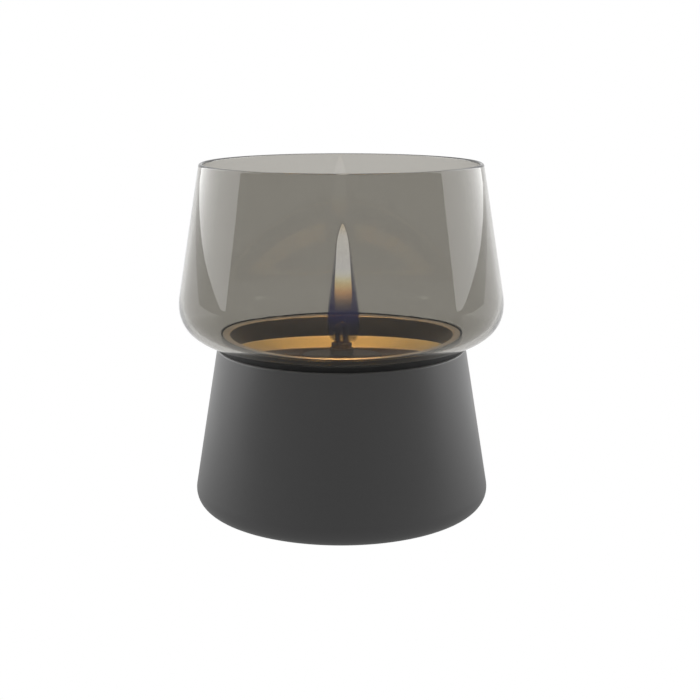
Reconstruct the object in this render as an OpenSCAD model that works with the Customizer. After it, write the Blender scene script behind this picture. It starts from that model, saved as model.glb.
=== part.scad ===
// Refillable table lamp with a smoked glass shade, a lacquered metal body and a lift-out burner.
// Millimetres, +Z up. The origin is the centre of the underside, on the surface that the lamp stands on.

/* [Body] */
// Height of the body's top rim
body_top_z = 55; // [50:0.5:60]
// Outer radius of the body at its top rim
body_top_r = 41.7; // [41.5:0.1:44]
// Radius at which the body's straight side would meet the table
body_corner_r = 50.9; // [48:0.1:56]
// Height of the rounding at the foot of the body
foot_round = 6.5; // [5:0.1:9]
// Wall thickness of the spun shell
shell_wall = 1.8; // [1.2:0.1:2.2]

/* [Glass shade] */
// Height of the shade's rim above the table
shade_top_z = 116; // [100:1:140]
// Outer radius of the shade at its rim
shade_rim_r = 46.5; // [44:0.1:50]
// Height at which the straight side turns into the bowl
shade_wide_z = 74.1; // [70:0.1:80]
// Outer radius at that height
shade_wide_r = 53.6; // [50:0.1:58]
// Lowest height that the bowl's curve tends to
bowl_floor_z = 56.4; // [56:0.1:57]
// Radius at which the bowl's curve would lie flat
bowl_floor_r = 30.8; // [29:0.1:33]
// Squareness of the bowl's curve, where 2 is an ellipse
bowl_power = 2.46; // [2.2:0.02:2.8]
// Thickness of the glass
glass_wall = 1.4; // [1.2:0.1:2]
// Radius of the hole in the shade's floor
shade_hole_r = 40.9; // [40.8:0.1:41.1]

/* [Burner] */
// Height of the burner's top lip
lip_z = 57.9; // [57.6:0.1:58.3]
// Outer radius of the lip
lip_r = 40.4; // [39.8:0.1:40.4]
// Inner radius of the fire bowl's upright wall
bowl_r = 37.9; // [37:0.1:38]
// Height at which the wall turns in to the bowl's cone
cone_top_z = 48.0; // [47.5:0.1:49]
// Height of the cone's foot
cone_foot_z = 41.9; // [41.7:0.1:43]
// Inner radius at the cone's foot
cone_foot_r = 33.7; // [33:0.1:34.5]
// Height of the fire bowl's floor
bowl_z = 40.5; // [40:0.1:41]
// Radius of the flat part of the floor
floor_flat_r = 26.4; // [25:0.1:28]
// Sheet thickness of the fire bowl
bowl_sheet = 0.8; // [0.6:0.1:0.9]
// Outer radius of the fuel can
can_r = 31; // [28:0.5:32]
// Height of the fuel can's underside
can_z = 11.8; // [9:0.1:14]

/* [Wick and cap] */
// Height of the nozzle's mouth
nozzle_z = 53.7; // [52:0.1:55]
// Outer radius of the nozzle
nozzle_r = 3.45; // [3.3:0.05:3.8]
// Height of the wick's loop above the nozzle
wick_rise = 9; // [6:0.5:12]
// Thickness of the wick's braid
wick_d = 2.2; // [1.8:0.1:2.2]
// Turn of the wick's loop about the lamp's axis
wick_turn = 33; // [0:1:90]
// Radius of the screw cap's grip
cap_r = 14; // [12:0.5:15]

/* [Hidden] */
$fn = 96;
eps = 0.01;
hold_play = 0.05;

// Body: the side leans out by body_lean per millimetre down, and the shell stops just above the table.
body_lean = (body_corner_r - body_top_r) / body_top_z;
lean_angle = atan(body_lean);
shell_z = 0.4;
foot_outer = foot_round - shell_z;
foot_centre_r = body_top_r + (body_top_z - foot_round) * body_lean - foot_outer / cos(lean_angle);
mouth_r = 39;
rabbet_r = 40.2;
rabbet_z = body_top_z - 1.4;
ledge_t = 1.6;
under_hole_r = 37;

// Body's lower pieces
plate_t = 1.2;
plate_r = 43;
pad_r = 36.5;
pad_hole_r = 24;
plate_z = shell_z + shell_wall;

// Shade: the cone's lean carries on through the bowl, so that they meet without a crease.
shade_lean = (shade_wide_r - shade_rim_r) / (shade_top_z - shade_wide_z);
bowl_steps = 32;
rim_steps = 8;
shade_foot_z = 56.8;

// Seat under the shade and the burner
flange_z = lip_z - bowl_sheet;
seat_r = 40.1;
seat_wall = 1.1;
gasket_r = 41.3;

// Fire bowl and can
floor_under_z = bowl_z - bowl_sheet;
can_wall = 0.5;
can_lap = 3;
seam_t = 0.6;
seam_h = 2;

// Filler neck
neck_bore_r = 10.2;
neck_r = 12;
neck_top_z = bowl_z + 2.5;
neck_foot_z = neck_top_z - 8;
neck_flange_r = 14;

// Inside of the fire bowl: down its wall, in over a cone and a slope, and over the floor to the neck's hole
bowl_line = [
    [bowl_r, lip_z],
    [bowl_r, cone_top_z],
    [cone_foot_r, cone_foot_z],
    [floor_flat_r, bowl_z],
    [neck_r + hold_play, bowl_z]
];

// Screw cap and its seals
gasket_t = 0.6;
thread_play = 0.1;
plug_r = neck_bore_r - thread_play;
plug_foot_z = neck_foot_z + 1;
plug_bore_r = 6.9;
grip_z = neck_top_z + gasket_t;
grip_h = 3;
grip_notches = 24;
notch_r = 0.7;
boss_r = 4.1;
boss_top_z = nozzle_z - 3.3;
vent_r = 0.5;
ring_section_r = 0.85;
ring_centre_r = plug_r - 0.8;
ring_z = plug_foot_z + 2;
ring_play = 0.1;

// Nozzle, its washer and nut
nozzle_bore_r = nozzle_r - 0.6;
nozzle_foot_z = plug_foot_z + 2.5;
collar_t = 0.8;
washer_t = 0.8;
washer_r = 6;
nut_t = 3;
nut_flats = 10;

// Wick: two legs side by side, joined by a half ring at the top
leg_x = wick_d / 2 + 0.5;
loop_z = nozzle_z + wick_rise - wick_d / 2 - leg_x;
wick_foot_z = can_z + 2.7;
ferrule_z = 31;
ferrule_h = 3;
ferrule_wall = 0.5;

// Outline of the body, drawn in by a given distance; the foot is a true arc.
module body_outline(inset) {
    turn = foot_outer - inset;
    top_r = body_top_r - inset / cos(lean_angle);
    polygon([
        [0, shell_z + inset],
        [foot_centre_r, shell_z + inset],
        [foot_centre_r + turn * cos(lean_angle), foot_round + turn * sin(lean_angle)],
        [top_r, body_top_z],
        [0, body_top_z]
    ]);
    translate([foot_centre_r, foot_round])
        circle(r = turn);
}

// Spun shell with a turned-in foot and a stepped mouth
module base_shell() {
    cavity_top = rabbet_z - ledge_t;
    color([0.10, 0.10, 0.105])
    rotate_extrude($fn = 180)
        difference() {
            body_outline(0);
            intersection() {
                body_outline(shell_wall);
                square([body_corner_r, cavity_top]);
            }
            square([under_hole_r, plate_z + eps]);
            translate([0, cavity_top - eps])
                square([mouth_r, body_top_z]);
            translate([0, rabbet_z])
                square([rabbet_r, body_top_z]);
        }
}

// Disc of sheet steel that closes the body's underside and lies on the turned-in foot
module base_plate() {
    color([0.45, 0.45, 0.46])
    translate([0, 0, plate_z])
        cylinder(h = plate_t, r = plate_r);
}

// Non-slip ring glued under the plate
module foot_pad() {
    color([0.05, 0.05, 0.05])
    difference() {
        cylinder(h = plate_z, r = pad_r);
        translate([0, 0, -1])
            cylinder(h = plate_z + 2, r = pad_hole_r);
    }
}

// Steel ring in the body's mouth that carries the burner's lip
module seat_ring() {
    color([0.62, 0.62, 0.62])
    translate([0, 0, rabbet_z])
        difference() {
            cylinder(h = flange_z - rabbet_z, r = seat_r);
            translate([0, 0, -1])
                cylinder(h = flange_z, r = seat_r - seat_wall);
        }
}

// Soft ring between the body's rim and the glass
module seat_gasket() {
    color([0.06, 0.06, 0.06])
    translate([0, 0, body_top_z])
        difference() {
            cylinder(h = shade_foot_z - body_top_z, r = gasket_r);
            translate([0, 0, -1])
                cylinder(h = body_top_z, r = rabbet_r);
        }
}

// Point of the shade's curve: turn 0 is the widest end and 90 the floor. The inside is the same curve, a wall
// smaller.
function bowl_drop(turn, inset) =
    (shade_wide_z - bowl_floor_z - inset) * pow(sin(turn), 2 / bowl_power);
function bowl_point(turn, inset) = [
    bowl_floor_r + (shade_wide_r - bowl_floor_r - inset) * pow(cos(turn), 2 / bowl_power)
        + shade_lean * bowl_drop(turn, inset),
    shade_wide_z - bowl_drop(turn, inset)
];

// Smoked glass: a cone on a rounded bowl, with a fire-polished rim and a round hole in its floor
module glass_shade() {
    bead_r = glass_wall / 2;
    bead = [shade_rim_r + bead_r * shade_lean - bead_r, shade_top_z - bead_r];
    rim = [for (i = [0:rim_steps]) bead + bead_r * [-cos(180 * i / rim_steps), sin(180 * i / rim_steps)]];
    outside = [for (i = [0:bowl_steps]) bowl_point(90 * i / bowl_steps, 0)];
    inside = [for (i = [bowl_steps:-1:0]) bowl_point(90 * i / bowl_steps, glass_wall)];
    color([0.35, 0.34, 0.31, 0.45])
    rotate_extrude($fn = 180)
        difference() {
            polygon(concat(rim, outside, inside));
            square([shade_hole_r, shade_top_z]);
            square([body_corner_r, shade_foot_z]);
        }
}

// Unit normal of the bowl's line from one point to the next, pointing out of the bowl
function line_normal(from, to) = [from[1] - to[1], to[0] - from[0]] / norm(to - from);

// Point i of the bowl's line, moved out through the sheet by a given distance
function moved_out(i, grow) =
    let (
        last = len(bowl_line) - 1,
        before = line_normal(bowl_line[max(i - 1, 0)], bowl_line[max(i, 1)]),
        after = line_normal(bowl_line[min(i, last - 1)], bowl_line[min(i + 1, last)])
    )
    bowl_line[i] + grow * (before + after) / (1 + before * after);

// Drawn steel bowl whose lip hangs on the seat ring; the sheet lies between the inner line and its copy moved out
module fire_bowl() {
    under = [for (i = [len(bowl_line) - 1:-1:1]) moved_out(i, bowl_sheet)];
    lip = [[bowl_r + bowl_sheet, flange_z], [lip_r, flange_z], [lip_r, lip_z]];
    color([0.55, 0.54, 0.52])
    rotate_extrude($fn = 180)
        polygon(concat(lip, bowl_line, under));
}

// Wall of the fuel can; its top is turned in and soldered under the flat of the fire bowl's floor
module fuel_can() {
    lap_r = floor_flat_r - can_lap;
    wall_h = floor_under_z - can_z - seam_t;
    color([0.60, 0.60, 0.60])
    translate([0, 0, can_z + seam_t])
        rotate_extrude($fn = 120)
            union() {
                translate([can_r - can_wall, 0])
                    square([can_wall, wall_h - can_wall]);
                translate([lap_r, wall_h - can_wall])
                    square([can_r - lap_r, can_wall]);
            }
}

// Seamed floor of the fuel can
module can_bottom() {
    color([0.58, 0.58, 0.58])
    translate([0, 0, can_z])
        difference() {
            cylinder(h = seam_h + seam_t, r = can_r + hold_play + seam_t);
            translate([0, 0, seam_t])
                cylinder(h = seam_h + 1, r = can_r + hold_play);
        }
}

// Filler neck, fixed through the fire bowl's floor; the screw thread inside is left plain
module filler_neck() {
    color([0.66, 0.66, 0.66])
    difference() {
        union() {
            translate([0, 0, neck_foot_z])
                cylinder(h = neck_top_z - neck_foot_z, r = neck_r);
            translate([0, 0, floor_under_z - bowl_sheet])
                cylinder(h = bowl_sheet, r = neck_flange_r);
        }
        translate([0, 0, neck_foot_z - 1])
            cylinder(h = neck_top_z, r = neck_bore_r);
    }
}

// Flat seal on the neck's mouth
module cap_gasket() {
    color([0.08, 0.08, 0.08])
    translate([0, 0, neck_top_z])
        difference() {
            cylinder(h = gasket_t, r = neck_r);
            translate([0, 0, -1])
                cylinder(h = 3, r = neck_bore_r + thread_play);
        }
}

// Round seal in the plug's groove
module plug_ring() {
    color([0.10, 0.10, 0.10])
    translate([0, 0, ring_z])
        rotate_extrude($fn = 96)
            translate([ring_centre_r, 0])
                circle(r = ring_section_r, $fn = 32);
}

// Screw cap: a notched grip, a boss for the nozzle and a hollow plug with a groove for its seal
module screw_cap() {
    groove_h = 2 * ring_section_r + 2 * ring_play;
    groove_floor_r = ring_centre_r - ring_section_r - hold_play;
    color([0.30, 0.30, 0.30])
    difference() {
        union() {
            translate([0, 0, plug_foot_z])
                cylinder(h = grip_z - plug_foot_z + 1, r = plug_r);
            translate([0, 0, grip_z])
                cylinder(h = grip_h, r = cap_r);
            translate([0, 0, grip_z])
                cylinder(h = boss_top_z - grip_z, r = boss_r);
        }
        translate([0, 0, plug_foot_z - 1])
            cylinder(h = grip_z - plug_foot_z + 1, r = plug_bore_r);
        translate([0, 0, plug_foot_z])
            cylinder(h = boss_top_z, r = nozzle_r + hold_play);
        translate([0, 0, ring_z - groove_h / 2])
            difference() {
                cylinder(h = groove_h, r = plug_r + 1);
                translate([0, 0, -1])
                    cylinder(h = groove_h + 2, r = groove_floor_r);
            }
        translate([cap_r / 2 - 1, 0, plug_foot_z])
            cylinder(h = boss_top_z, r = vent_r, $fn = 24);
        for (i = [0:grip_notches - 1])
            rotate([0, 0, 360 * i / grip_notches])
                translate([cap_r, 0, grip_z - 1])
                    cylinder(h = grip_h + 2, r = notch_r, $fn = 24);
    }
}

// Tube that holds the wick, with a collar that sits on the cap's boss
module nozzle() {
    color([0.16, 0.16, 0.16])
    difference() {
        union() {
            translate([0, 0, nozzle_foot_z])
                cylinder(h = nozzle_z - nozzle_foot_z, r = nozzle_r);
            translate([0, 0, boss_top_z])
                cylinder(h = collar_t, r = boss_r);
        }
        translate([0, 0, nozzle_foot_z - 1])
            cylinder(h = nozzle_z, r = nozzle_bore_r);
    }
}

// Fibre washer between the nut and the cap
module nozzle_washer() {
    color([0.35, 0.18, 0.10])
    translate([0, 0, grip_z - washer_t])
        difference() {
            cylinder(h = washer_t, r = washer_r);
            translate([0, 0, -1])
                cylinder(h = 3, r = nozzle_r + hold_play);
        }
}

// Hexagon nut that clamps the nozzle in the cap
module nozzle_nut() {
    color([0.66, 0.66, 0.64])
    translate([0, 0, grip_z - washer_t - nut_t])
        difference() {
            cylinder(h = nut_t, r = nut_flats / 2 / cos(30), $fn = 6);
            translate([0, 0, -1])
                cylinder(h = nut_t + 2, r = nozzle_r + hold_play);
        }
}

// Glass-fibre braid bent into a loop, with both tails hanging in the fuel
module wick() {
    color([0.72, 0.66, 0.55])
    rotate([0, 0, wick_turn])
        union() {
            for (side = [-1, 1])
                translate([side * leg_x, 0, wick_foot_z])
                    cylinder(h = loop_z - wick_foot_z, r = wick_d / 2, $fn = 48);
            translate([0, 0, loop_z])
                rotate([90, 0, 0])
                    rotate_extrude(angle = 180, $fn = 48)
                        translate([leg_x, 0])
                            circle(r = wick_d / 2, $fn = 48);
        }
}

// Crimped band that keeps the wick's tails together
module wick_ferrule() {
    reach = leg_x + wick_d / 2 + hold_play;
    color([0.70, 0.70, 0.68])
    translate([0, 0, ferrule_z])
        difference() {
            cylinder(h = ferrule_h, r = reach + ferrule_wall);
            translate([0, 0, -1])
                cylinder(h = ferrule_h + 2, r = reach);
        }
}

base_shell();
base_plate();
foot_pad();
seat_ring();
seat_gasket();
glass_shade();
fire_bowl();
fuel_can();
can_bottom();
filler_neck();
cap_gasket();
plug_ring();
screw_cap();
nozzle();
nozzle_washer();
nozzle_nut();
wick();
wick_ferrule();
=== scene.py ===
import math

import bmesh
import bpy
from mathutils import Matrix, Vector


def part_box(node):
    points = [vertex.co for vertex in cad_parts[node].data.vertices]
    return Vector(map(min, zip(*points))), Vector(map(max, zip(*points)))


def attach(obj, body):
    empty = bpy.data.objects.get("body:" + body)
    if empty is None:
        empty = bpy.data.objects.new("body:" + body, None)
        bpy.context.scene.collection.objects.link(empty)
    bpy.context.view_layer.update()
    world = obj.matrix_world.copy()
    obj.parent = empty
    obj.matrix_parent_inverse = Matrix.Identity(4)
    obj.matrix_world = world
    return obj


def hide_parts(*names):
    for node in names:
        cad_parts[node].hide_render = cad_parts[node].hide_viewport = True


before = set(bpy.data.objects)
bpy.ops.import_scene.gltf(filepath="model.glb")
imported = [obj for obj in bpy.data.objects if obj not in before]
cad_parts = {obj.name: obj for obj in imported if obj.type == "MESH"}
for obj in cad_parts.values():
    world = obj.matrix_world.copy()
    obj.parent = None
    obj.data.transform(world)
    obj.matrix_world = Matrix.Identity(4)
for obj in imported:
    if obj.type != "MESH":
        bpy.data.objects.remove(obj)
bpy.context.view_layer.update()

scene = bpy.context.scene
mm = 0.001


# Camera. It stands in front of the lamp, a little above the shade's rim, and looks slightly down through a
# long lens. It is made before any of the lamp's pieces.
camera_back = 0.4196
camera_height = 0.1460
camera_aside = 0.00284
camera_pitch = math.radians(12.484)
camera_data = bpy.data.cameras.new("studio_camera")
camera_data.lens = 65.4
camera_data.sensor_width = 36
camera = bpy.data.objects.new("studio_camera", camera_data)
camera.location = (camera_aside, -camera_back, camera_height)
camera.rotation_euler = (math.pi / 2 - camera_pitch, 0, 0)
scene.collection.objects.link(camera)
scene.camera = camera


# Studio. A plain white floor runs into a white surround. In reflections both are grey in front of the lamp
# and brighten behind it. With the tall soft panels left and right, each round form is dark in the middle.
scene.view_settings.view_transform = "Standard"
scene.cycles.transparent_max_bounces = 48
scene.cycles.transmission_bounces = 16
scene.cycles.max_bounces = 16
surround_front_grey, surround_front_y = 0.30, 0.30
surround_back_grey, surround_back_y = 0.80, 0.85
floor_front_grey, floor_front_y = 0.26, -0.08
floor_back_grey, floor_back_y = 1.0, 0.20
floor_r = 4.0
panel_away = 0.70
panel_front = -0.088
panel_rear = 1.00
panel_foot = 0.100
panel_head = 0.90
panel_power = 5.4


def studio_light(nodes, links, way, front_grey, back_grey, front_y, back_y):
    """1 to the camera, straight or through glass; elsewhere, a grey that grows from front_y to back_y."""
    path = nodes.new("ShaderNodeLightPath")
    seen_plainly = nodes.new("ShaderNodeMath")
    seen_plainly.operation = "MAXIMUM"
    links.new(path.outputs["Is Camera Ray"], seen_plainly.inputs[0])
    links.new(path.outputs["Is Transmission Ray"], seen_plainly.inputs[1])
    parts = nodes.new("ShaderNodeSeparateXYZ")
    links.new(way, parts.inputs[0])
    grade = nodes.new("ShaderNodeMapRange")
    links.new(parts.outputs["Y"], grade.inputs["Value"])
    ends = {"From Min": front_y, "From Max": back_y, "To Min": front_grey, "To Max": back_grey}
    for end, number in ends.items():
        grade.inputs[end].default_value = number
    strength = nodes.new("ShaderNodeMix")
    strength.inputs["B"].default_value = 1.0
    links.new(seen_plainly.outputs[0], strength.inputs["Factor"])
    links.new(grade.outputs["Result"], strength.inputs["A"])
    return strength.outputs["Result"]


world = bpy.data.worlds.new("studio_surround")
world.use_nodes = True
world_nodes, world_links = world.node_tree.nodes, world.node_tree.links
world_light = world_nodes["Background"]
world_light.inputs["Color"].default_value = (1, 1, 1, 1)
world_way = world_nodes.new("ShaderNodeTexCoord").outputs["Generated"]
world_links.new(studio_light(world_nodes, world_links, world_way, surround_front_grey, surround_back_grey,
                             surround_front_y, surround_back_y), world_light.inputs["Strength"])
scene.world = world

floor_form = bmesh.new()
bmesh.ops.create_circle(floor_form, cap_ends=True, segments=96, radius=floor_r)
floor_mesh = bpy.data.meshes.new("studio_floor")
floor_form.to_mesh(floor_mesh)
floor_form.free()
studio_floor = bpy.data.objects.new("studio_floor", floor_mesh)
scene.collection.objects.link(studio_floor)
floor_white = bpy.data.materials.new("floor_white")
floor_white.use_nodes = True
floor_nodes, floor_links = floor_white.node_tree.nodes, floor_white.node_tree.links
floor_nodes.clear()
floor_glow = floor_nodes.new("ShaderNodeEmission")
floor_out = floor_nodes.new("ShaderNodeOutputMaterial")
floor_way = floor_nodes.new("ShaderNodeTexCoord").outputs["Object"]
floor_links.new(studio_light(floor_nodes, floor_links, floor_way, floor_front_grey, floor_back_grey,
                             floor_front_y, floor_back_y), floor_glow.inputs["Strength"])
floor_links.new(floor_glow.outputs[0], floor_out.inputs["Surface"])
floor_mesh.materials.append(floor_white)

for side, side_name in ((-1, "left"), (1, "right")):
    panel_data = bpy.data.lights.new("panel_" + side_name, "AREA")
    panel_data.shape = "RECTANGLE"
    panel_data.size = panel_head - panel_foot
    panel_data.size_y = panel_rear - panel_front
    panel_data.energy = panel_power
    panel = bpy.data.objects.new("panel_" + side_name, panel_data)
    panel.location = (side * panel_away, (panel_front + panel_rear) / 2, (panel_foot + panel_head) / 2)
    panel.rotation_euler = (0, side * math.pi / 2, 0)
    panel.visible_camera = False
    panel.visible_transmission = False
    scene.collection.objects.link(panel)


# Body shell. Sheet metal spun to a leaning cone with a turned-in foot and a stepped mouth, sprayed with a
# satin anthracite lacquer. Like all the round pieces it is turned from one outline of rounded corners.
def turned(name, corners, steps=192):
    """A closed ring or disc turned about the axis, from (radius, height, rounding) corners in millimetres."""
    form = bmesh.new()
    points = [form.verts.new((radius * mm, 0, height * mm)) for radius, height, _ in corners]
    for here, there in zip(points, points[1:] + points[:1]):
        if here.co.x > 0 or there.co.x > 0:
            form.edges.new((here, there))
    for point, (_, _, rounding) in zip(points, corners):
        if rounding:
            bmesh.ops.bevel(form, geom=[point], offset=rounding * mm, offset_type="OFFSET",
                            segments=4 + int(rounding * 2), profile=0.5, affect="VERTICES", material=-1)
    hold_flats(form)
    bmesh.ops.spin(form, geom=form.verts[:] + form.edges[:], cent=(0, 0, 0), axis=(0, 0, 1),
                   angle=math.tau, steps=steps, use_merge=True)
    return made_piece(name, form)


def hold_flats(form):
    """Splits each long straight of an outline just short of its ends, so that it stays flat there."""
    long_straight = 1.5 * mm
    short_of_end = 0.12 * mm
    for edge in [edge for edge in form.edges if edge.calc_length() > long_straight]:
        for end in edge.verts[:]:
            bmesh.utils.edge_split(edge, end, short_of_end / edge.calc_length())


merge_gap = 0.001 * mm
sharp_corner = math.radians(38)


def made_piece(name, form):
    """Turns a bmesh into a smooth object with its seams merged and its faces outwards."""
    bmesh.ops.remove_doubles(form, verts=form.verts[:], dist=merge_gap)
    bmesh.ops.recalc_face_normals(form, faces=form.faces[:])
    mesh = bpy.data.meshes.new(name)
    form.to_mesh(mesh)
    form.free()
    mesh.shade_smooth()
    mesh.set_sharp_from_angle(angle=sharp_corner)
    piece = bpy.data.objects.new(name, mesh)
    scene.collection.objects.link(piece)
    return piece


class Finish:
    """A surface finish: a Principled shader with a few short ways to add pattern nodes in front of it."""

    def __init__(self, name, **plain):
        self.material = bpy.data.materials.new(name)
        self.material.use_nodes = True
        self.nodes = self.material.node_tree.nodes
        self.links = self.material.node_tree.links
        self.shader = self.nodes["Principled BSDF"]
        for socket, value in plain.items():
            self.shader.inputs[socket.replace("_", " ")].default_value = value
        self.place = self.nodes.new("ShaderNodeTexCoord").outputs["Object"]
        self.parts = self.nodes.new("ShaderNodeSeparateXYZ")
        self.links.new(self.place, self.parts.inputs[0])

    def feed(self, socket, value):
        """Links value into a socket, or sets it there if it is a plain number or colour."""
        if isinstance(value, bpy.types.NodeSocket):
            self.links.new(value, socket)
        else:
            socket.default_value = value

    def sum(self, kind, first, second=0.0, third=0.0):
        """Result of a Math node of that kind."""
        node = self.nodes.new("ShaderNodeMath")
        node.operation = kind
        for socket, value in zip(node.inputs, (first, second, third)):
            self.feed(socket, value)
        return node.outputs[0]

    def radius(self):
        """Distance from the lamp's axis, in metres."""
        across = self.sum("MULTIPLY", self.parts.outputs["X"], self.parts.outputs["X"])
        square = self.sum("MULTIPLY_ADD", self.parts.outputs["Y"], self.parts.outputs["Y"], across)
        return self.sum("SQRT", square)

    def noise(self, scale, detail=2.0, rough=0.5, place=None):
        """Cloudy 0..1 noise, with scale waves to the metre."""
        node = self.nodes.new("ShaderNodeTexNoise")
        self.feed(node.inputs["Vector"], place or self.place)
        node.inputs["Scale"].default_value = scale
        node.inputs["Detail"].default_value = detail
        node.inputs["Roughness"].default_value = rough
        return node.outputs["Fac"]

    def rings(self, scale):
        """Fine marks that run round the axis, as a lathe leaves them."""
        joined = self.nodes.new("ShaderNodeCombineXYZ")
        self.feed(joined.inputs["X"], self.radius())
        self.feed(joined.inputs["Z"], self.parts.outputs["Z"])
        return self.noise(scale, 3.0, 0.6, joined.outputs[0])

    def ramp(self, value, stops):
        """Colours or greys at stops (place, colour)."""
        node = self.nodes.new("ShaderNodeValToRGB")
        while len(node.color_ramp.elements) < len(stops):
            node.color_ramp.elements.new(0.5)
        for element, (place, colour) in zip(node.color_ramp.elements, stops):
            element.position = place
            element.color = (*colour, 1) if isinstance(colour, tuple) else (colour, colour, colour, 1)
        self.feed(node.inputs["Fac"], value)
        return node.outputs["Color"]

    def span(self, value, low, high, out_low=0.0, out_high=1.0):
        """Maps low..high to out_low..out_high and holds it there."""
        node = self.nodes.new("ShaderNodeMapRange")
        self.feed(node.inputs["Value"], value)
        for end, number in (("From Min", low), ("From Max", high), ("To Min", out_low), ("To Max", out_high)):
            self.feed(node.inputs[end], number)
        return node.outputs["Result"]

    def blend(self, share, first, second):
        """Goes from the first colour to the second as share goes from 0 to 1."""
        node = self.nodes.new("ShaderNodeMix")
        node.data_type = "RGBA"
        self.feed(node.inputs["Factor"], share)
        for socket, value in (("A", first), ("B", second)):
            self.feed(node.inputs[socket], (*value, 1) if isinstance(value, tuple) else value)
        return node.outputs["Result"]

    def relief(self, height, depth, strength=1.0):
        """Bump from a 0..1 height, depth metres deep."""
        node = self.nodes.new("ShaderNodeBump")
        node.inputs["Strength"].default_value = strength
        node.inputs["Distance"].default_value = depth
        self.feed(node.inputs["Height"], height)
        self.feed(self.shader.inputs["Normal"], node.outputs[0])

    def paint(self, socket, value):
        """Feeds a socket of the shader."""
        self.feed(self.shader.inputs[socket], value)

    def wear(self, piece):
        """Puts this finish on a piece in place of whatever it has."""
        piece.data.materials.clear()
        piece.data.materials.append(self.material)


def fitted(piece, body, slot, *nodes):
    """Rides a piece on its body in place of its CAD nodes; the slot argument is not used."""
    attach(piece, body)
    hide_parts(*nodes)


shell_low, shell_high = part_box("base_shell")
shell_foot_z = shell_low.z / mm
rim_z = shell_high.z / mm
rim_outer_r = 41.7
corner_r = 50.9
side_lean = (corner_r - rim_outer_r) / rim_z
shell_wall = 1.8
wall_inner_r = rim_outer_r - shell_wall * math.hypot(1, side_lean)
mouth_r = 39.0
rabbet_r = 40.2
rabbet_z = rim_z - 1.4
ledge_z = rim_z - 3.0
foot_hole_r = 37.0
foot_top_z = shell_foot_z + shell_wall
body_shell = turned("body_shell", [
    (foot_hole_r, shell_foot_z, 0.3),
    (rim_outer_r + (rim_z - shell_foot_z) * side_lean, shell_foot_z, 7.4),
    (rim_outer_r, rim_z, 0.55),
    (rabbet_r, rim_z, 0.3),
    (rabbet_r, rabbet_z, 0.1),
    (mouth_r, rabbet_z, 0.2),
    (mouth_r, ledge_z, 0.2),
    (wall_inner_r + (rim_z - ledge_z) * side_lean, ledge_z, 0.3),
    (wall_inner_r + (rim_z - foot_top_z) * side_lean, foot_top_z, 5.3),
    (foot_hole_r, foot_top_z, 0.3),
], steps=256)
lacquer = Finish("satin_lacquer", Specular_IOR_Level=1.0)
lacquer_cloud = lacquer.noise(60, 3)
lacquer_fleck = lacquer.noise(5200, 2)
lacquer.paint("Base Color", lacquer.blend(
    lacquer.span(lacquer_fleck, 0.35, 0.7),
    lacquer.blend(lacquer_cloud, (0.083, 0.083, 0.083), (0.089, 0.089, 0.089)),
    (0.098, 0.098, 0.098)))
lacquer.paint("Roughness", lacquer.span(lacquer_cloud, 0.3, 0.7, 0.35, 0.40))
lacquer.relief(lacquer.noise(1500, 2), 0.004 * mm, 1.0)
lacquer.wear(body_shell)
fitted(body_shell, "body", "lacquer", "base_shell")


# Base plate. A disc of rolled sheet steel lies on the shell's turned-in foot and closes the underside; its
# rolled grain runs one way and it has a dull bloom.
plate_low, plate_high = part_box("base_plate")
base_plate_piece = turned("base_disc", [
    (0, plate_low.z / mm, 0),
    (plate_high.x / mm, plate_low.z / mm, 0.25),
    (plate_high.x / mm, plate_high.z / mm, 0.25),
    (0, plate_high.z / mm, 0),
])
rolled_steel = Finish("rolled_steel", Metallic=1.0, Roughness=0.45)
grain_place = rolled_steel.nodes.new("ShaderNodeMapping")
grain_place.inputs["Scale"].default_value = (40, 1600, 40)
rolled_steel.links.new(rolled_steel.place, grain_place.inputs["Vector"])
rolled_grain = rolled_steel.noise(1, 4, 0.6, grain_place.outputs[0])
rolled_bloom = rolled_steel.noise(90, 4)
rolled_steel.paint("Base Color", rolled_steel.blend(rolled_bloom, (0.36, 0.36, 0.37), (0.50, 0.50, 0.50)))
rolled_steel.paint("Roughness", rolled_steel.span(rolled_grain, 0.3, 0.7, 0.36, 0.56))
rolled_steel.relief(rolled_grain, 0.006 * mm)
rolled_steel.wear(base_plate_piece)
fitted(base_plate_piece, "body", "plate_steel", "base_plate")


# Foot pad. A ring of black foam rubber with closed cells is glued under the plate, so that the metal never
# touches the table; its edges are pressed a little round.
pad_low, pad_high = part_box("foot_pad")
pad_hole_r = 24.0
foot_ring = turned("foot_ring", [
    (pad_hole_r, pad_low.z / mm, 0.45),
    (pad_high.x / mm, pad_low.z / mm, 0.45),
    (pad_high.x / mm, pad_high.z / mm, 0.15),
    (pad_hole_r, pad_high.z / mm, 0.15),
])
foam_rubber = Finish("foam_rubber", Roughness=0.9, Specular_IOR_Level=0.25)
foam_cells = foam_rubber.nodes.new("ShaderNodeTexVoronoi")
foam_cells.inputs["Scale"].default_value = 1900
foam_rubber.links.new(foam_rubber.place, foam_cells.inputs["Vector"])
foam_rubber.paint("Base Color", foam_rubber.ramp(
    foam_cells.outputs["Distance"], [(0.0, 0.018), (0.55, 0.042), (1.0, 0.06)]))
foam_rubber.paint("Roughness", foam_rubber.span(foam_rubber.noise(300, 3), 0.3, 0.7, 0.82, 0.95))
foam_rubber.relief(foam_cells.outputs["Distance"], 0.08 * mm, 0.8)
foam_rubber.wear(foot_ring)
fitted(foot_ring, "body", "pad_rubber", "foot_pad")
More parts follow.
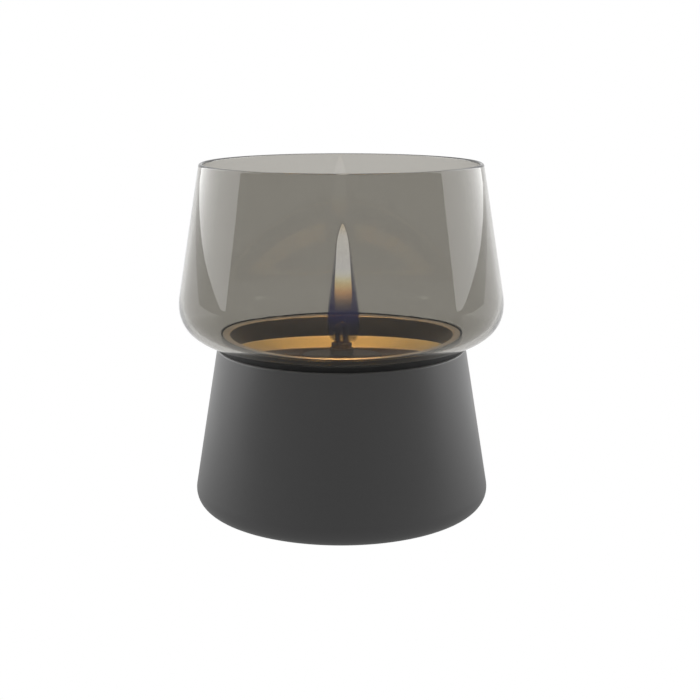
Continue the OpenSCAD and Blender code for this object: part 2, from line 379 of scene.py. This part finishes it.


# Seat ring and fire bowl. Stainless steel: the ring is turned and pressed into the body's mouth, and the bowl
# is drawn from sheet, with a lip that hangs on the ring. The bowl is coloured in bands by height: a dark
# brown floor, a gold cone that is heat tint with painted flame light on it and painted highlight lines at its
# edges, a dark upper wall and a lighter warm lip.
seat_low, seat_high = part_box("seat_ring")
seat_hole_r = 39.0
seat_band = turned("seat_band", [
    (seat_hole_r, seat_low.z / mm, 0.2),
    (seat_high.x / mm, seat_low.z / mm, 0.15),
    (seat_high.x / mm, seat_high.z / mm, 0.2),
    (seat_hole_r, seat_high.z / mm, 0.2),
], steps=256)
bowl_low, bowl_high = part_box("fire_bowl")
lip_z = bowl_high.z / mm
lip_r = bowl_high.x / mm
bowl_under_z = bowl_low.z / mm
sheet = 0.8
bowl_wall_r = 37.9
cone_top_z = 48.0
cone_foot_r = 33.7
cone_foot_z = 41.9
floor_flat_r = 26.4
neck_hole_r = 12.05
bowl_line = [(bowl_wall_r, lip_z), (bowl_wall_r, cone_top_z), (cone_foot_r, cone_foot_z),
             (floor_flat_r, bowl_under_z + sheet), (neck_hole_r, bowl_under_z + sheet)]


def through_sheet(line, place):
    """Point of a drawn outline on the sheet's other side."""
    ways = []
    for start in (max(place - 1, 0), min(place, len(line) - 2)):
        run, drop = line[start + 1][0] - line[start][0], line[start + 1][1] - line[start][1]
        ways.append(Vector((-drop, run)) / math.hypot(run, drop))
    return Vector(line[place]) + (ways[0] + ways[1]) * sheet / (1 + ways[0].dot(ways[1]))


bowl_under = [through_sheet(bowl_line, place) for place in range(len(bowl_line))]
bowl = turned("fire_bowl_drawn", [
    (lip_r, lip_z, 0.3),
    (lip_r, lip_z - sheet, 0.25),
    (bowl_wall_r + sheet, lip_z - sheet, 0.3),
    (*bowl_under[1], 1.0),
    (*bowl_under[2], 1.0),
    (*bowl_under[3], 2.0),
    (*bowl_under[4], 0),
    (*bowl_line[4], 0),
    (*bowl_line[3], 2.0),
    (*bowl_line[2], 0.5),
    (*bowl_line[1], 0.5),
    (*bowl_line[0], 0.6),
], steps=256)


def turned_steel(name, bright, dark, smoothest, roughest, depth):
    """Satin turned steel with marks round the axis and a slight cloudiness."""
    finish = Finish(name, Metallic=1.0, Roughness=roughest)
    marks = finish.rings(5200)
    cloud = finish.noise(110, 3)
    finish.paint("Base Color", finish.blend(finish.sum("MULTIPLY", marks, cloud), dark, bright))
    finish.paint("Roughness", finish.span(marks, 0.3, 0.7, smoothest, roughest))
    finish.relief(marks, depth)
    return finish


seat_steel = turned_steel("satin_steel", (0.66, 0.64, 0.60), (0.46, 0.45, 0.43), 0.26, 0.34, 0.002 * mm)
seat_steel.wear(seat_band)
bowl_steel = Finish("tinted_steel_painted_glow", Metallic=1.0)
bowl_marks = bowl_steel.rings(5200)
bowl_cloud = bowl_steel.sum("MULTIPLY", bowl_steel.sum("SUBTRACT", bowl_steel.noise(110, 3), 0.5), 0.25 * mm)
bowl_height = bowl_steel.sum("ADD", bowl_steel.parts.outputs["Z"], bowl_cloud)
zone_low, zone_high = 40, 60
bowl_zones = bowl_steel.span(bowl_height, zone_low * mm, zone_high * mm)


def zone(height):
    """Place of a height, in millimetres, in the bowl's ramps."""
    return (height - zone_low) / (zone_high - zone_low)


# Painted flame light: the gold cone stands for the flame's glow on heat-tinted steel, and the two brighter
# stops at its edges are painted highlight lines.
bowl_tint_and_painted_glow = bowl_steel.ramp(bowl_zones, [
    (zone(bowl_under_z + sheet), (0.13, 0.09, 0.055)), (zone(cone_foot_z - 0.25), (0.17, 0.115, 0.065)),
    (zone(cone_foot_z + 0.05), (0.80, 0.66, 0.38)), (zone(cone_foot_z + 0.9), (0.66, 0.54, 0.26)),
    (zone(cone_top_z - 0.7), (0.66, 0.54, 0.26)), (zone(cone_top_z - 0.1), (0.80, 0.68, 0.42)),
    (zone(cone_top_z + 0.2), (0.085, 0.085, 0.082)), (zone(lip_z - 0.75), (0.085, 0.085, 0.082)),
    (zone(lip_z - 0.45), (0.56, 0.48, 0.37)), (1.0, (0.56, 0.48, 0.37))])
bowl_shade = bowl_steel.span(bowl_marks, 0.3, 0.7, 0.0, 0.16)
bowl_steel.paint("Base Color", bowl_steel.blend(bowl_shade, bowl_tint_and_painted_glow, (0, 0, 0)))
bowl_steel.paint("Roughness", bowl_steel.ramp(bowl_zones, [
    (zone(cone_foot_z - 0.25), 0.42), (zone(cone_foot_z + 0.05), 0.55), (zone(cone_top_z - 0.1), 0.55),
    (zone(cone_top_z + 0.2), 0.34), (zone(lip_z - 0.75), 0.34), (zone(lip_z - 0.45), 0.50)]))
bowl_steel.relief(bowl_marks, 0.002 * mm)
bowl_steel.wear(bowl)
fitted(seat_band, "body", "burner_steel", "seat_ring")
fitted(bowl, "burner", "burner_steel", "fire_bowl")


# Seat gasket. A flat-topped ring of black silicone lies on the body's rim and keeps the glass off the metal.
# It is moulded, with a matt skin and a faint bloom of dust.
gasket_low, gasket_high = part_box("seat_gasket")
gasket_hole_r = 40.2
seat_seal = turned("seat_seal", [
    (gasket_hole_r, gasket_low.z / mm, 0.12),
    (gasket_high.x / mm, gasket_low.z / mm, 0.2),
    (gasket_high.x / mm, gasket_high.z / mm, 0.3),
    (gasket_hole_r, gasket_high.z / mm, 0.2),
], steps=256)
silicone = Finish("black_silicone", Roughness=0.6, Specular_IOR_Level=0.4)
silicone_bloom = silicone.noise(700, 4, 0.65)
silicone.paint("Base Color", silicone.ramp(silicone_bloom, [(0.3, 0.014), (0.6, 0.020), (0.8, 0.040)]))
silicone.paint("Roughness", silicone.span(silicone_bloom, 0.3, 0.7, 0.5, 0.7))
silicone.relief(silicone_bloom, 0.02 * mm, 0.5)
silicone.wear(seat_seal)
fitted(seat_seal, "body", "seal_rubber", "seat_gasket")


# Glass shade. Mould-blown smoked glass of even thickness: a cone that runs without a crease into a rounded
# bowl, with a fire-polished rim and a ground round hole in its floor.
shade_low, shade_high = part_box("glass_shade")
shade_top = shade_high.z / mm
shade_foot = shade_low.z / mm
rim_r = 46.5
wide_r = 53.6
wide_z = 74.1
curve_floor_r = 30.8
curve_floor_z = 56.4
curve_power = 2.46
glass_wall = 1.4
rim_round = 0.69
hole_r = 40.9
shade_lean = (wide_r - rim_r) / (shade_top - wide_z)
curve_steps = 44


def bowl_curve(inset):
    """The bowl's outline from its widest point down to its floor, drawn in by inset millimetres."""
    points = []
    for step in range(curve_steps + 1):
        turn = math.pi / 2 * step / curve_steps
        drop = (wide_z - curve_floor_z - inset) * math.sin(turn) ** (2 / curve_power)
        reach = (wide_r - curve_floor_r - inset) * max(math.cos(turn), 0) ** (2 / curve_power)
        points.append((curve_floor_r + reach + shade_lean * drop, wide_z - drop))
    return points


shade_form = bmesh.new()
rim_points = []
for inset in (0, glass_wall):
    outline = [(rim_r - inset, shade_top)] + bowl_curve(inset)
    line = [shade_form.verts.new((radius * mm, 0, height * mm)) for radius, height in outline]
    for here, there in zip(line, line[1:]):
        shade_form.edges.new((here, there))
    rim_points.append(line[0])
shade_form.edges.new(rim_points)
for plane_point, plane_normal in (((0, 0, shade_foot * mm), (0, 0, -1)), ((hole_r * mm, 0, 0), (-1, 0, 0))):
    bmesh.ops.bisect_plane(shade_form, geom=shade_form.verts[:] + shade_form.edges[:], dist=1e-7,
                           plane_co=plane_point, plane_no=plane_normal, clear_outer=True)
outer_end, inner_end = sorted((v for v in shade_form.verts if len(v.link_edges) == 1), key=lambda v: v.co.z)
ground_corner = shade_form.verts.new((hole_r * mm, 0, shade_foot * mm))
shade_form.edges.new((outer_end, ground_corner))
shade_form.edges.new((ground_corner, inner_end))
for corner, rounding in ((ground_corner, 0.25), (inner_end, 0.3), (outer_end, 0.3),
                         (rim_points[0], rim_round), (rim_points[1], rim_round)):
    bmesh.ops.bevel(shade_form, geom=[corner], offset=rounding * mm, offset_type="OFFSET", segments=6,
                    profile=0.5, affect="VERTICES", material=-1)
hold_flats(shade_form)
bmesh.ops.spin(shade_form, geom=shade_form.verts[:] + shade_form.edges[:], cent=(0, 0, 0), axis=(0, 0, 1),
               angle=math.tau, steps=256, use_merge=True)
shade = made_piece("smoked_shade", shade_form)
shade.visible_shadow = False
smoked_glass = Finish("smoked_glass", Roughness=0.0, Transmission_Weight=1.0, IOR=1.5)
smoked_glass.paint("Base Color", smoked_glass.blend(
    smoked_glass.span(smoked_glass.parts.outputs["Z"], shade_foot * mm, shade_top * mm),
    (0.450, 0.437, 0.405), (0.457, 0.444, 0.411)))
smoked_glass.wear(shade)
fitted(shade, "shade", "smoked_glass", "glass_shade")


# Fuel can, its seamed floor and the filler neck. Tinned sheet steel: the wall is rolled and its top turned in
# and soldered under the bowl, the floor is crimped on, and the neck is turned and soldered through the bowl.
can_low, can_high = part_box("fuel_can")
can_r = can_high.x / mm
can_sheet = 0.5
can_hole_r = floor_flat_r - 3
can_wall = turned("can_wall", [
    (can_r - can_sheet, can_low.z / mm, 0.1),
    (can_r, can_low.z / mm, 0.1),
    (can_r, can_high.z / mm, 0.8),
    (can_hole_r, can_high.z / mm, 0.1),
    (can_hole_r, can_high.z / mm - can_sheet, 0.1),
    (can_r - can_sheet, can_high.z / mm - can_sheet, 0.4),
])
floor_low, floor_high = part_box("can_bottom")
seam_sheet = 0.6
seam_inner_r = can_r + 0.05
can_floor = turned("can_floor", [
    (0, floor_low.z / mm, 0),
    (floor_high.x / mm, floor_low.z / mm, 0.55),
    (floor_high.x / mm, floor_high.z / mm, 0.3),
    (seam_inner_r, floor_high.z / mm, 0.2),
    (seam_inner_r, floor_low.z / mm + seam_sheet, 0.1),
    (0, floor_low.z / mm + seam_sheet, 0),
])
neck_low, neck_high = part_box("filler_neck")
neck_r = 12.0
neck_bore_r = 10.2
flange_foot_z = bowl_under_z - 0.8
neck = turned("neck_turned", [
    (neck_bore_r, neck_low.z / mm, 0.25),
    (neck_r, neck_low.z / mm, 0.3),
    (neck_r, flange_foot_z, 0.15),
    (neck_high.x / mm, flange_foot_z, 0.2),
    (neck_high.x / mm, bowl_under_z, 0.2),
    (neck_r, bowl_under_z, 0.1),
    (neck_r, neck_high.z / mm, 0.3),
    (neck_bore_r, neck_high.z / mm, 0.3),
])
tinned = Finish("tinned_steel", Metallic=1.0, Roughness=0.35)
spangle = tinned.nodes.new("ShaderNodeTexVoronoi")
spangle.inputs["Scale"].default_value = 260
tinned.links.new(tinned.place, spangle.inputs["Vector"])
tin_haze = tinned.noise(150, 5, 0.6)
tinned.paint("Base Color", tinned.blend(
    tinned.sum("MULTIPLY", spangle.outputs["Distance"], tin_haze), (0.50, 0.50, 0.51), (0.74, 0.73, 0.71)))
tinned.paint("Roughness", tinned.span(tin_haze, 0.3, 0.7, 0.26, 0.46))
tinned.relief(tin_haze, 0.01 * mm, 0.6)
for can_piece, can_node in ((can_wall, "fuel_can"), (can_floor, "can_bottom"), (neck, "filler_neck")):
    tinned.wear(can_piece)
    fitted(can_piece, "burner", "can_steel", can_node)


# Cap seals. A flat ring of black silicone lies on the neck's mouth, and a round one sits in the plug's
# groove. Both are moulded and take the shade gasket's finish.
flat_low, flat_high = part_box("cap_gasket")
flat_hole_r = 10.3
flat_seal = turned("flat_seal", [
    (flat_hole_r, flat_low.z / mm, 0.1),
    (flat_high.x / mm, flat_low.z / mm, 0.15),
    (flat_high.x / mm, flat_high.z / mm, 0.15),
    (flat_hole_r, flat_high.z / mm, 0.1),
])
ring_low, ring_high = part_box("plug_ring")
ring_half = (ring_high.z - ring_low.z) / 2 / mm
ring_mid_r = ring_high.x / mm - ring_half
round_seal_form = bmesh.new()
bmesh.ops.create_circle(round_seal_form, segments=24, radius=ring_half * mm,
                        matrix=Matrix.Translation((ring_mid_r * mm, 0, (ring_low.z + ring_high.z) / 2))
                        @ Matrix.Rotation(math.pi / 2, 4, "X"))
bmesh.ops.spin(round_seal_form, geom=round_seal_form.verts[:] + round_seal_form.edges[:], cent=(0, 0, 0),
               axis=(0, 0, 1), angle=math.tau, steps=128, use_merge=True)
round_seal = made_piece("round_seal", round_seal_form)
silicone.wear(flat_seal)
silicone.wear(round_seal)
fitted(flat_seal, "cap_seal", "seal_rubber", "cap_gasket")
fitted(round_seal, "plug_seal", "seal_rubber", "plug_ring")


# Screw cap. Turned from bar and darkened: a flat grip with 24 notches for the fingers, a boss that carries
# the nozzle, and a hollow plug below with a groove for its round seal.
cap_low, cap_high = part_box("screw_cap")
grip_r = cap_high.x / mm
grip_top_z = 46.6
grip_under_z = 43.6
plug_foot_z = cap_low.z / mm
plug_r = 10.1
plug_bore_r = 6.9
plug_roof_z = grip_under_z - 0.8
groove_floor_r = ring_mid_r - ring_half - 0.05
groove_low_z = ring_low.z / mm - 0.1
groove_high_z = ring_high.z / mm + 0.1
nozzle_hole_r = 3.5
boss_r = 4.1
notch_count = 24
notch_r = 0.7


def pressed(piece, reach_at):
    """Draws in whatever of a turned piece stands further out than reach_at(angle, height), in millimetres."""
    form = bmesh.new()
    form.from_mesh(piece.data)
    for vertex in form.verts:
        spread = math.hypot(vertex.co.x, vertex.co.y)
        reach = reach_at(math.atan2(vertex.co.y, vertex.co.x), vertex.co.z / mm) * mm
        if spread > reach:
            vertex.co.x *= reach / spread
            vertex.co.y *= reach / spread
    bmesh.ops.remove_doubles(form, verts=form.verts[:], dist=merge_gap)
    form.to_mesh(piece.data)
    form.free()
    piece.data.set_sharp_from_angle(angle=sharp_corner)


def grip_reach(angle, height):
    """Radius of the notched grip at an angle."""
    if height < grip_under_z - 0.1:
        return grip_r
    sector = math.tau / notch_count
    off = abs((angle + sector / 2) % sector - sector / 2) * grip_r
    return grip_r - math.sqrt(max(notch_r ** 2 - off ** 2, 0))


cap = turned("notched_cap", [
    (nozzle_hole_r, plug_roof_z, 0),
    (plug_bore_r, plug_roof_z, 0.2),
    (plug_bore_r, plug_foot_z, 0.3),
    (plug_r, plug_foot_z, 0.5),
    (plug_r, groove_low_z, 0.1),
    (groove_floor_r, groove_low_z, 0.1),
    (groove_floor_r, groove_high_z, 0.1),
    (plug_r, groove_high_z, 0.1),
    (plug_r, grip_under_z, 0.15),
    (grip_r, grip_under_z, 0.35),
    (grip_r, grip_top_z, 0.5),
    (boss_r, grip_top_z, 0.5),
    (boss_r, cap_high.z / mm, 0.1),
    (nozzle_hole_r, cap_high.z / mm, 0.1),
], steps=notch_count * 14)
pressed(cap, grip_reach)
cap_steel = turned_steel("darkened_steel", (0.15, 0.14, 0.125), (0.09, 0.086, 0.08), 0.32, 0.42, 0.003 * mm)
cap_steel.wear(cap)
fitted(cap, "cap", "cap_steel", "screw_cap")


# Nozzle, washer and nut. The nozzle is a steel tube, blackened and browned by heat, whose collar sits on the
# cap's boss; inside the cap a pressed red fibre washer and a chamfered zinc-plated nut clamp it.
tube_low, tube_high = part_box("nozzle")
tube_r = 3.45
tube_bore_r = 2.85
collar_r = tube_high.x / mm
collar_z = cap_high.z / mm
collar_top_z = collar_z + 0.8
nozzle = turned("wick_tube", [
    (tube_bore_r, tube_low.z / mm, 0.1),
    (tube_r, tube_low.z / mm, 0.15),
    (tube_r, collar_z, 0),
    (collar_r, collar_z, 0.15),
    (collar_r, collar_top_z, 0.25),
    (tube_r, collar_top_z, 0.15),
    (tube_r, tube_high.z / mm, 0.2),
    (tube_bore_r, tube_high.z / mm, 0.2),
], steps=96)
blackened = turned_steel("blackened_steel", (0.20, 0.15, 0.09), (0.06, 0.045, 0.03), 0.34, 0.5, 0.004 * mm)
blackened.wear(nozzle)
fitted(nozzle, "cap", "nozzle_steel", "nozzle")

washer_low, washer_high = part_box("nozzle_washer")
washer = turned("fibre_ring", [
    (nozzle_hole_r, washer_low.z / mm, 0.1),
    (washer_high.x / mm, washer_low.z / mm, 0.12),
    (washer_high.x / mm, washer_high.z / mm, 0.12),
    (nozzle_hole_r, washer_high.z / mm, 0.1),
], steps=96)
fibre = Finish("pressed_fibre", Roughness=0.8, Specular_IOR_Level=0.3)
fibre_fleck = fibre.noise(2600, 5, 0.7)
fibre.paint("Base Color", fibre.ramp(fibre_fleck, [
    (0.3, (0.16, 0.05, 0.03)), (0.6, (0.30, 0.11, 0.06)), (0.8, (0.42, 0.2, 0.12))]))
fibre.paint("Roughness", fibre.span(fibre_fleck, 0.3, 0.7, 0.7, 0.9))
fibre.relief(fibre_fleck, 0.03 * mm, 0.7)
fibre.wear(washer)
fitted(washer, "cap", "fibre_washer", "nozzle_washer")

nut_low, nut_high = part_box("nozzle_nut")
nut_flat = 5.0
nut_corner_r = nut_flat / math.cos(math.pi / 6)
nut = turned("hex_nut", [
    (nozzle_hole_r, nut_low.z / mm, 0.3),
    (nut_flat - 0.1, nut_low.z / mm, 0),
    (nut_corner_r, nut_low.z / mm + 0.45, 0),
    (nut_corner_r, nut_high.z / mm - 0.2, 0),
    (nut_flat + 0.3, nut_high.z / mm, 0),
    (nozzle_hole_r, nut_high.z / mm, 0.3),
], steps=96)
pressed(nut, lambda angle, height: nut_flat / math.cos((angle + math.pi / 6) % (math.pi / 3) - math.pi / 6))
zinc = turned_steel("zinc_plate", (0.70, 0.71, 0.70), (0.50, 0.51, 0.52), 0.24, 0.4, 0.002 * mm)
zinc.wear(nut)
fitted(nut, "cap", "nut_steel", "nozzle_nut")


# Wick and ferrule. The wick is a round glass-fibre braid, bent into a loop above the nozzle and scorched
# there, with both tails hanging in the fuel; a crimped zinc-plated band holds the tails together.
wick_low, wick_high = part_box("wick")
wick_turn = math.radians(33)
braid_r = 1.1
leg_x = 1.6
loop_z = wick_high.z / mm - braid_r - leg_x
wick_foot_z = wick_low.z / mm + 0.3
leg_length = loop_z - wick_foot_z
loop_length = math.pi * leg_x
yarn_count = 12
yarn_r = 0.27
middle_yarn_r = 0.62
yarn_reach = 0.74
yarn_sway = 0.085
braid_pitch = 7.2
yarn_step = 0.3


def wick_frame(along):
    """Place, and the direction away from the loop's middle, at a length along the braid, in millimetres."""
    if along < leg_length:
        return Vector((-leg_x, 0, wick_foot_z + along)), Vector((-1, 0, 0))
    if along > leg_length + loop_length:
        return Vector((leg_x, 0, loop_z - (along - leg_length - loop_length))), Vector((1, 0, 0))
    turn = (along - leg_length) / leg_x
    outward = Vector((-math.cos(turn), 0, math.sin(turn)))
    return Vector((0, 0, loop_z)) + outward * leg_x, outward


yarn_curve = bpy.data.curves.new("wick_yarns", "CURVE")
yarn_curve.dimensions = "3D"
yarn_curve.bevel_depth = yarn_r * mm
yarn_curve.bevel_resolution = 1
yarn_curve.use_fill_caps = True
wick_length = 2 * leg_length + loop_length
stations = int(wick_length / yarn_step)
for yarn in range(yarn_count + 1):
    core = yarn == yarn_count
    way = 1 if yarn % 2 else -1
    start = math.tau * (yarn // 2) / (yarn_count / 2)
    spline = yarn_curve.splines.new("POLY")
    spline.points.add(stations)
    for number, point in enumerate(spline.points):
        along = wick_length * number / stations
        middle, outward = wick_frame(along)
        turn = start + way * math.tau * along / braid_pitch
        spread = 0.0 if core else yarn_reach + yarn_sway * way * math.cos(yarn_count / 2 * turn)
        place = middle + (outward * math.cos(turn) + Vector((0, 1, 0)) * math.sin(turn)) * spread
        place.rotate(Matrix.Rotation(wick_turn, 3, "Z"))
        point.co = (*(place * mm), 1)
        point.radius = middle_yarn_r / yarn_r if core else 1.0
yarn_holder = bpy.data.objects.new("wick_yarns", yarn_curve)
scene.collection.objects.link(yarn_holder)
bpy.context.view_layer.update()
braid_mesh = bpy.data.meshes.new_from_object(yarn_holder)
bpy.data.objects.remove(yarn_holder)
braid_mesh.shade_smooth()
braid = bpy.data.objects.new("braided_wick", braid_mesh)
scene.collection.objects.link(braid)
fibre_braid = Finish("scorched_braid", Roughness=0.85, Specular_IOR_Level=0.25)
scorch = fibre_braid.sum("ADD", fibre_braid.parts.outputs["Z"],
                         fibre_braid.sum("MULTIPLY", fibre_braid.noise(420, 4), 4 * mm))
yarn_tone = fibre_braid.noise(3200, 4, 0.65)
scorch_place = fibre_braid.span(scorch, 50 * mm, 64 * mm)
dark_yarn = fibre_braid.ramp(scorch_place, [
    (0.0, (0.52, 0.44, 0.33)), (0.25, (0.20, 0.14, 0.07)), (0.5, (0.07, 0.05, 0.03)),
    (0.8, (0.015, 0.013, 0.011))])
light_yarn = fibre_braid.ramp(scorch_place, [
    (0.0, (0.66, 0.58, 0.46)), (0.25, (0.34, 0.24, 0.13)), (0.5, (0.13, 0.09, 0.05)),
    (0.8, (0.028, 0.022, 0.018))])
fibre_braid.paint("Base Color", fibre_braid.blend(yarn_tone, dark_yarn, light_yarn))
fibre_braid.paint("Roughness", fibre_braid.span(yarn_tone, 0.3, 0.7, 0.75, 0.95))
fibre_braid.relief(yarn_tone, 0.05 * mm, 0.8)
fibre_braid.wear(braid)
fitted(braid, "wick", "wick_braid", "wick")

band_low, band_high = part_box("wick_ferrule")
band_r = band_high.x / mm
band_inner_r = band_r - 0.5
band = turned("crimped_band", [
    (band_inner_r, band_low.z / mm, 0.12),
    (band_r, band_low.z / mm, 0.15),
    (band_r, (band_low.z + band_high.z) / 2 / mm, 0),
    (band_r, band_high.z / mm, 0.15),
    (band_inner_r, band_high.z / mm, 0.12),
], steps=72)
zinc.wear(band)
fitted(band, "wick", "nut_steel", "wick_ferrule")


# Flame. It burns on the wick's loop: a slim bright core that fades to nothing at its foot, inside a wider
# violet mantle. Each is three nested thin skins, which soften its edge, and neither is a solid part. The
# small lights in it stand for the glow that the core throws on the bowl; the glass takes none of it.
core_knots = [
    (0.0, 96.0), (0.85, 94.3), (1.88, 89.9), (2.38, 83.2), (2.80, 75.6), (2.90, 69.8), (2.45, 65.2),
    (1.55, 63.0), (0.0, 62.4),
]
mantle_knots = [
    (0.0, 97.2), (1.15, 95.4), (2.45, 89.6), (3.4, 81.4), (4.62, 72.0), (5.38, 65.0), (5.32, 59.2),
    (4.5, 55.4), (2.9, 53.95), (0.0, 53.8),
]
skin_widths = (1.0, 0.93, 0.86)
skin_height_share = 0.35
skin_middle_share = 0.58
flame_foot_x = 0.7
flame_foot_z = 54
flame_tip_x = 0.4
flame_tip_z = 96
flame_slope = (flame_tip_x - flame_foot_x) / (flame_tip_z - flame_foot_z)
glow_r = 3.2
glow_x = 0.5
glow_lights = ((66, 0.012), (72, 0.024), (78, 0.027), (84, 0.021), (90, 0.009))
glow_colour = (1.0, 0.62, 0.27)


def smooth_line(knots, parts=3):
    """Points of a smooth curve that runs through the knots, parts of them from each knot to the next."""
    points = []
    for place in range(len(knots) - 1):
        near = [Vector(knots[min(max(place + step, 0), len(knots) - 1)]) for step in (-1, 0, 1, 2)]
        before, here, there, after = near
        for part in range(parts):
            share = part / parts
            points.append((2 * here + (there - before) * share
                           + (2 * before - 5 * here + 4 * there - after) * share ** 2
                           + (3 * here - before - 3 * there + after) * share ** 3) / 2)
    return points + [Vector(knots[-1])]


def flame_piece(name, knots):
    """Nested skins turned from the curve through the knots; the inner ones are narrower and shorter."""
    form = bmesh.new()
    middle_z = knots[0][1] * (1 - skin_middle_share) + knots[-1][1] * skin_middle_share
    for width in skin_widths:
        rise = 1 - (1 - width) * skin_height_share
        line = [form.verts.new((radius * width * mm, 0, (middle_z + (height - middle_z) * rise) * mm))
                for radius, height in smooth_line(knots)]
        edges = [form.edges.new(ends) for ends in zip(line, line[1:])]
        bmesh.ops.spin(form, geom=line + edges, cent=(0, 0, 0), axis=(0, 0, 1), angle=math.tau, steps=48,
                       use_merge=True)
    for vertex in form.verts:
        vertex.co.x += (flame_foot_x - flame_foot_z * flame_slope) * mm + vertex.co.z * flame_slope
    piece = made_piece(name, form)
    piece.visible_shadow = False
    return piece


def flame_glow(name, strength, low_z, high_z, colours, alphas):
    """Glow without a surface, whose colour and alpha change with height between low_z and high_z."""
    finish = Finish(name, Base_Color=(0, 0, 0, 1), Roughness=1.0, Specular_IOR_Level=0.0,
                    Emission_Strength=strength)
    place = finish.span(finish.parts.outputs["Z"], low_z * mm, high_z * mm)
    finish.paint("Emission Color", finish.ramp(place, colours))
    finish.paint("Alpha", finish.ramp(place, alphas))
    return finish


flame_core = flame_piece("flame_core", core_knots)
core_glow = flame_glow(
    "flame_core_glow", strength=1.42, low_z=62, high_z=96,
    colours=[(0.0, (0.05, 0.03, 0.02)), (0.20, (0.27, 0.22, 0.13)), (0.26, (0.50, 0.34, 0.19)),
             (0.33, (0.94, 0.56, 0.26)), (0.40, (1.0, 0.76, 0.38)), (0.45, (1.0, 0.91, 0.58)),
             (0.51, (0.93, 0.92, 0.84)), (0.57, (0.84, 0.83, 0.82)), (0.88, (0.76, 0.745, 0.72)),
             (1.0, (0.66, 0.56, 0.42))],
    alphas=[(0.12, 0.0), (0.20, 0.40), (0.27, 0.70), (0.36, 0.84), (1.0, 0.86)])
core_glow.wear(flame_core)
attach(flame_core, "cap")

flame_mantle = flame_piece("flame_mantle", mantle_knots)
mantle_glow = flame_glow(
    "flame_mantle_glow", strength=1.0, low_z=53, high_z=98,
    colours=[(0.0, (0.006, 0.004, 0.006)), (0.19, (0.004, 0.003, 0.02)), (0.27, (0.006, 0.005, 0.07)),
             (0.67, (0.04, 0.03, 0.09)), (0.85, (0.10, 0.06, 0.04))],
    alphas=[(0.0, 0.04), (0.09, 0.16), (0.17, 0.32), (0.27, 0.40), (0.36, 0.28), (0.47, 0.18),
            (0.60, 0.11), (0.82, 0.07), (1.0, 0.04)])
mantle_glow.wear(flame_mantle)
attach(flame_mantle, "cap")

lit_by_flame = bpy.data.collections.new("lit_by_flame")
lit_by_flame.objects.link(shade)
lit_by_flame.collection_objects[0].light_linking.link_state = "EXCLUDE"
for glow_z, glow_power in glow_lights:
    glow_data = bpy.data.lights.new("flame_light", "POINT")
    glow_data.energy = glow_power
    glow_data.color = glow_colour
    glow_data.shadow_soft_size = glow_r * mm
    glow = bpy.data.objects.new("flame_light", glow_data)
    glow.location = (glow_x * mm, 0, glow_z * mm)
    glow.visible_camera = False
    glow.visible_transmission = False
    scene.collection.objects.link(glow)
    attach(glow, "cap")
    glow.light_linking.receiver_collection = lit_by_flame
